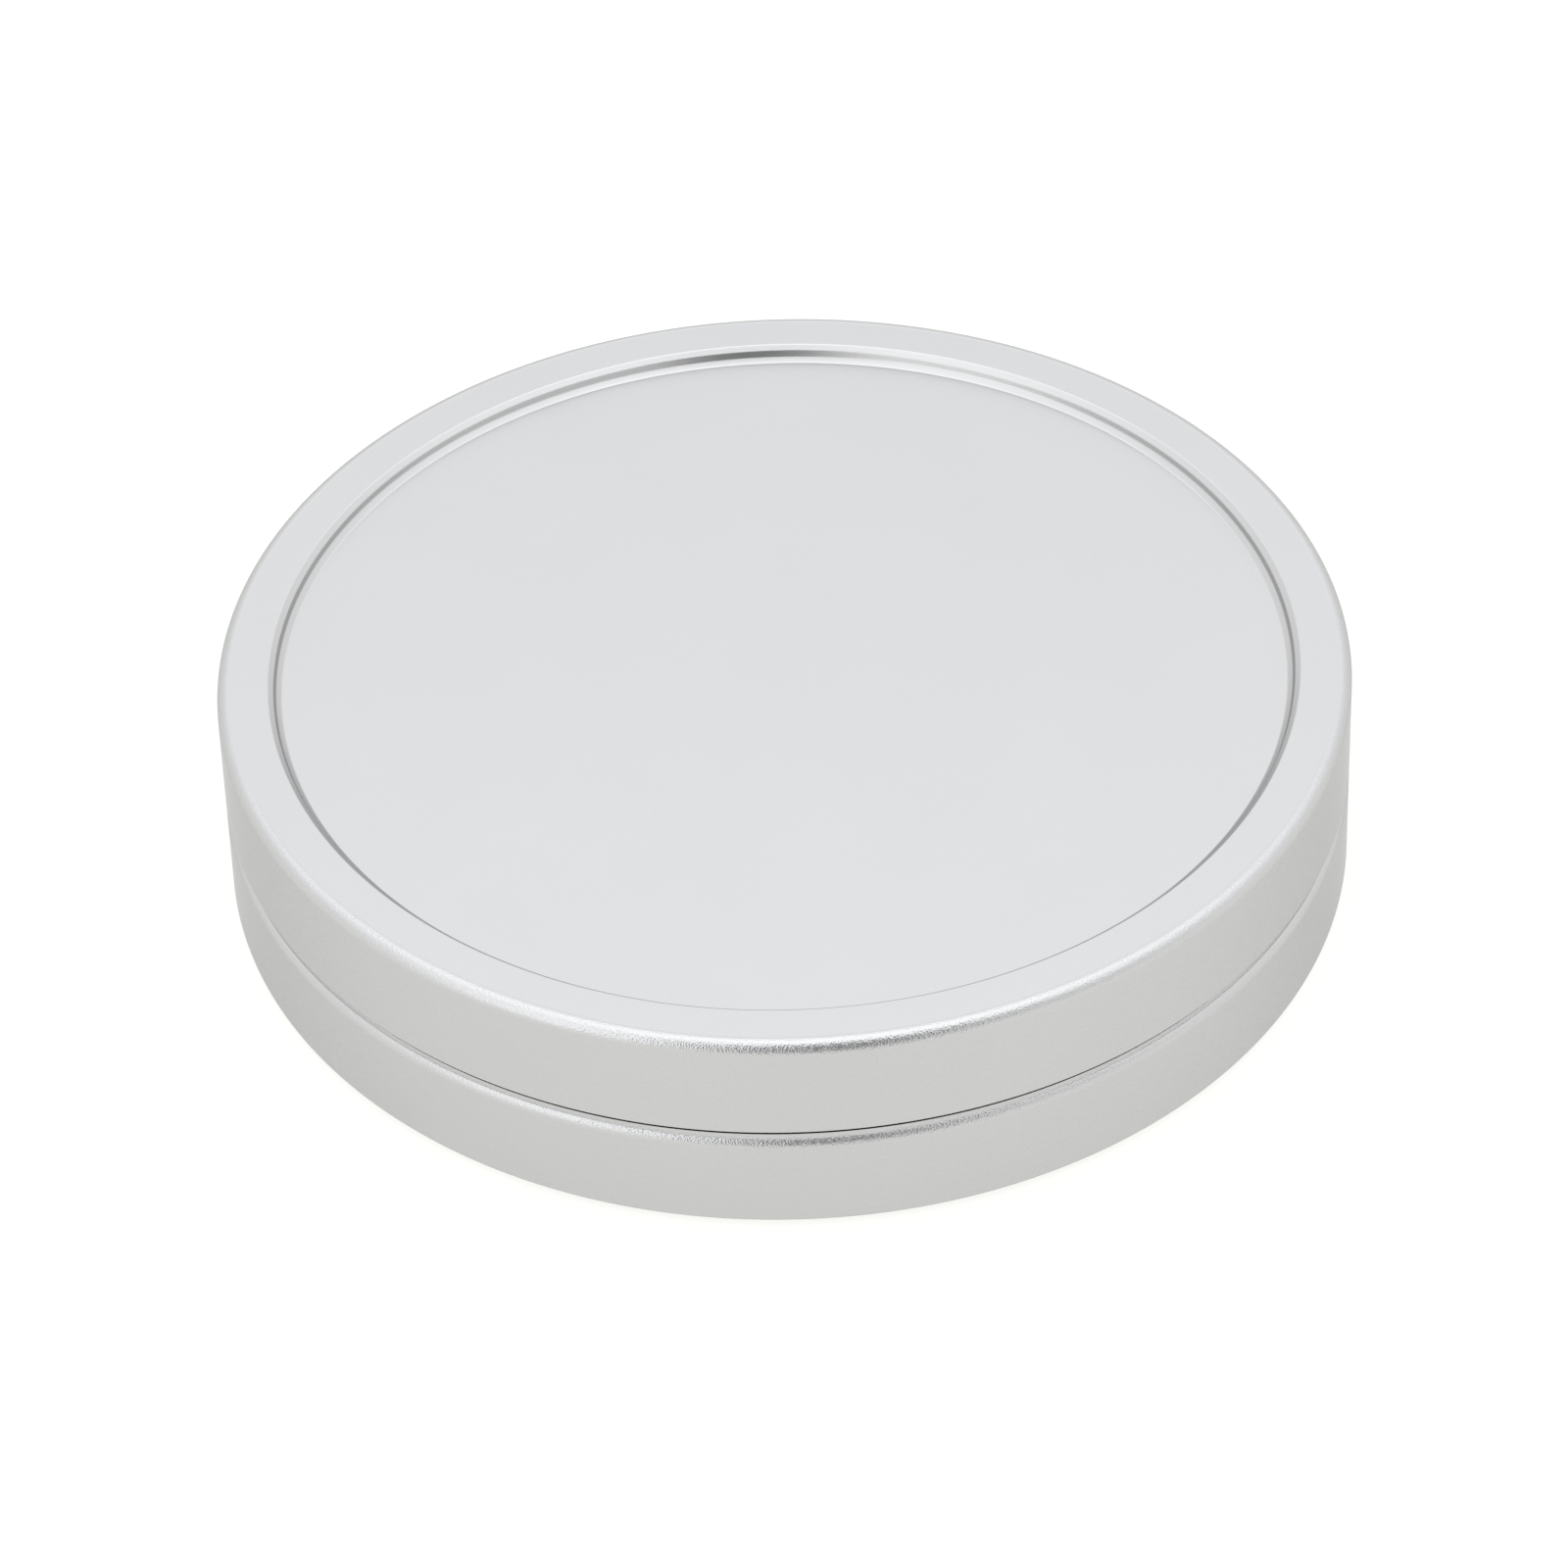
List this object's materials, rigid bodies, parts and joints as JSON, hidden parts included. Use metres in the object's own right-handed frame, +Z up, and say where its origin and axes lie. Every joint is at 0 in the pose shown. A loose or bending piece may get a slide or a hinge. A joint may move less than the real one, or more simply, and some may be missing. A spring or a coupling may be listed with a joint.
{
  "type": "banding wheel",
  "caption": "Low flat banding wheel: a round aluminium head with a shallow work recess turns freely on a ball bearing above a matching disc base on rubber feet.",
  "frame": {"origin": "on the spindle's axis, on the surface that the feet stand on", "axes": "+Z up along the spindle, +X and +Y towards two of the cover screws"},
  "size_m": [0.115, 0.115, 0.024],
  "materials": {
    "anodised_aluminium": "bead-blasted, clear anodised, satin",
    "cover_aluminium": "fine turned, clear anodised",
    "bearing_steel": "ground",
    "ball_steel": "polished",
    "pressed_steel": "rolled sheet",
    "zinc_plated_steel": "bright zinc plated, turned",
    "stainless_screw_steel": "plain stainless, satin",
    "foot_rubber": "matt moulded"
  },
  "bodies": {
    "base": {"base_disc": "anodised_aluminium", "bearing_outer_ring": "bearing_steel", "bearing_shield_lower": "pressed_steel", "bearing_shield_upper": "pressed_steel", "bearing_clamp_ring": "zinc_plated_steel", "clamp_ring_screws": "stainless_screw_steel", "bottom_cover": "cover_aluminium", "cover_screws": "stainless_screw_steel", "foot_1": "foot_rubber", "foot_2": "foot_rubber", "foot_3": "foot_rubber", "foot_4": "foot_rubber"},
    "head": {"head_disc": "anodised_aluminium", "bearing_inner_ring": "bearing_steel", "spindle_retainer": "zinc_plated_steel", "spindle_screw": "stainless_screw_steel"},
    "cage": {"bearing_cage_lower": "pressed_steel", "bearing_cage_upper": "pressed_steel", "cage_rivets": "pressed_steel"},
    "ball_01": {"ball_01": "ball_steel"},
    "ball_02": {"ball_02": "ball_steel"},
    "ball_03": {"ball_03": "ball_steel"},
    "ball_04": {"ball_04": "ball_steel"},
    "ball_05": {"ball_05": "ball_steel"},
    "ball_06": {"ball_06": "ball_steel"},
    "ball_07": {"ball_07": "ball_steel"},
    "ball_08": {"ball_08": "ball_steel"},
    "ball_09": {"ball_09": "ball_steel"},
    "ball_10": {"ball_10": "ball_steel"}
  },
  "joints": [
    {"name": "head_spin", "type": "hinge", "parent": "base", "child": "head", "pos_m": [0, 0, 0.0123], "axis": [0, 0, 1], "continuous": true},
    {"name": "cage_orbit", "type": "hinge", "parent": "base", "child": "cage", "pos_m": [0, 0, 0.0123], "axis": [0, 0, 1], "continuous": true},
    {"name": "ball_01_roll", "type": "hinge", "parent": "cage", "child": "ball_01", "pos_m": [0.013, 0, 0.0123], "axis": [0, 0, 1], "continuous": true},
    {"name": "ball_02_roll", "type": "hinge", "parent": "cage", "child": "ball_02", "pos_m": [0.01052, 0.00764, 0.0123], "axis": [0, 0, 1], "continuous": true},
    {"name": "ball_03_roll", "type": "hinge", "parent": "cage", "child": "ball_03", "pos_m": [0.00402, 0.01236, 0.0123], "axis": [0, 0, 1], "continuous": true},
    {"name": "ball_04_roll", "type": "hinge", "parent": "cage", "child": "ball_04", "pos_m": [-0.00402, 0.01236, 0.0123], "axis": [0, 0, 1], "continuous": true},
    {"name": "ball_05_roll", "type": "hinge", "parent": "cage", "child": "ball_05", "pos_m": [-0.01052, 0.00764, 0.0123], "axis": [0, 0, 1], "continuous": true},
    {"name": "ball_06_roll", "type": "hinge", "parent": "cage", "child": "ball_06", "pos_m": [-0.013, 0, 0.0123], "axis": [0, 0, 1], "continuous": true},
    {"name": "ball_07_roll", "type": "hinge", "parent": "cage", "child": "ball_07", "pos_m": [-0.01052, -0.00764, 0.0123], "axis": [0, 0, 1], "continuous": true},
    {"name": "ball_08_roll", "type": "hinge", "parent": "cage", "child": "ball_08", "pos_m": [-0.00402, -0.01236, 0.0123], "axis": [0, 0, 1], "continuous": true},
    {"name": "ball_09_roll", "type": "hinge", "parent": "cage", "child": "ball_09", "pos_m": [0.00402, -0.01236, 0.0123], "axis": [0, 0, 1], "continuous": true},
    {"name": "ball_10_roll", "type": "hinge", "parent": "cage", "child": "ball_10", "pos_m": [0.01052, -0.00764, 0.0123], "axis": [0, 0, 1], "continuous": true}
  ],
  "couplings": [
    {"joint": "cage_orbit", "follows": "head_spin", "ratio": 0.40842},
    {"joint": "ball_01_roll", "follows": "head_spin", "ratio": -2.6384},
    {"joint": "ball_02_roll", "follows": "head_spin", "ratio": -2.6384},
    {"joint": "ball_03_roll", "follows": "head_spin", "ratio": -2.6384},
    {"joint": "ball_04_roll", "follows": "head_spin", "ratio": -2.6384},
    {"joint": "ball_05_roll", "follows": "head_spin", "ratio": -2.6384},
    {"joint": "ball_06_roll", "follows": "head_spin", "ratio": -2.6384},
    {"joint": "ball_07_roll", "follows": "head_spin", "ratio": -2.6384},
    {"joint": "ball_08_roll", "follows": "head_spin", "ratio": -2.6384},
    {"joint": "ball_09_roll", "follows": "head_spin", "ratio": -2.6384},
    {"joint": "ball_10_roll", "follows": "head_spin", "ratio": -2.6384}
  ]
}
